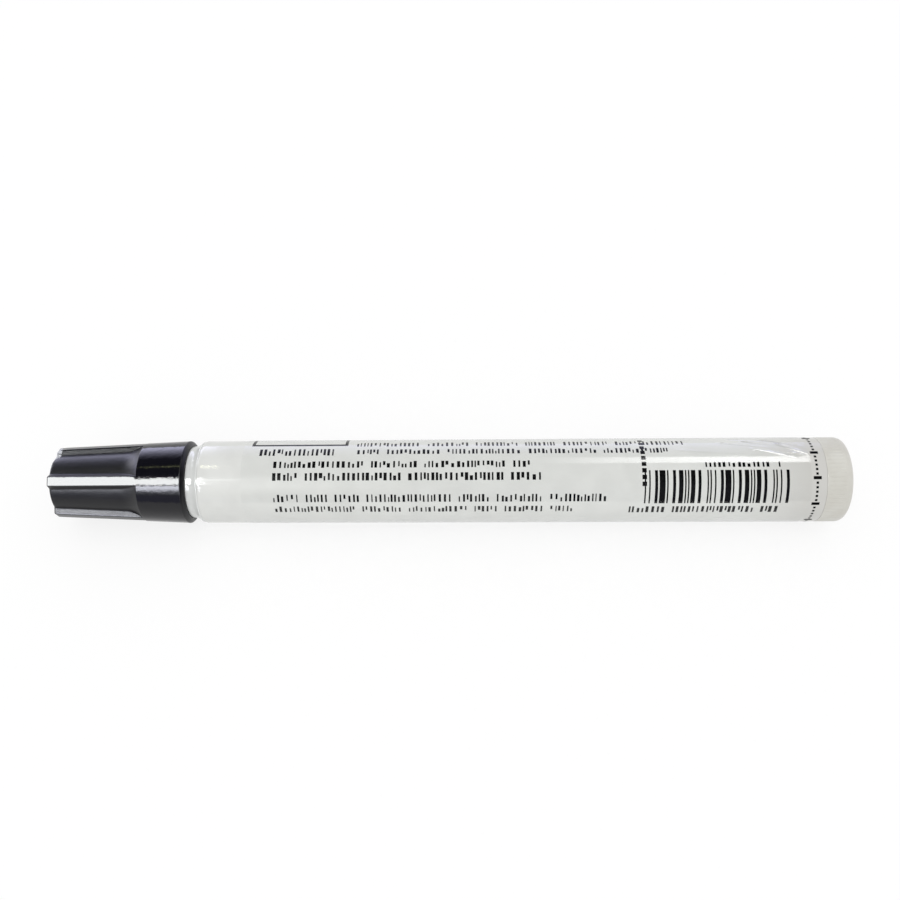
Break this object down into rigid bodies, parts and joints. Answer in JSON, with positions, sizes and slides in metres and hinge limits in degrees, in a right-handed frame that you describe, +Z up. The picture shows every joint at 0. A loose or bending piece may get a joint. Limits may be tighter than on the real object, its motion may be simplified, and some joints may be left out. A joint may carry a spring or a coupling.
{
  "type": "permanent marker",
  "caption": "Round capped permanent marker with a fluted pull-off cap, a drafted white barrel in a clear wrap and a ribbed end plug.",
  "frame": {"origin": "on the surface that the marker lies on, half way along it and below its axis", "axes": "+X along the marker from the cap to the end plug, +Z up, +Y away from the side that carries the printing"},
  "size_m": [0.1424, 0.0154, 0.0155],
  "materials": {
    "cap_black": "glossy black moulded plastic",
    "liner_white": "natural white moulded plastic",
    "barrel_white": "white moulded plastic with black printing",
    "holder_white": "white moulded plastic",
    "plug_cream": "cream moulded plastic with fine ribs",
    "clear_film": "thin clear plastic wrap",
    "inked_felt": "bonded felt fibre soaked in black ink",
    "inked_fibre": "polyester fibre bundle soaked in black ink",
    "sleeve_film": "translucent plastic sleeve"
  },
  "bodies": {
    "writing_body": {"barrel": "barrel_white", "label_film": "clear_film", "nib_holder": "holder_white", "nib": "inked_felt", "ink_core": "inked_fibre", "core_wrap": "sleeve_film"},
    "cap": {"cap_shell": "cap_black", "cap_seal_cup": "liner_white"},
    "rear_plug": {"end_plug": "plug_cream"}
  },
  "joints": [
    {"name": "cap_slide", "type": "slide", "parent": "writing_body", "child": "cap", "axis": [-1, 0, 0], "range_m": [0, 0.045]},
    {"name": "plug_slide", "type": "slide", "parent": "writing_body", "child": "rear_plug", "axis": [1, 0, 0], "range_m": [0, 0.025]}
  ]
}
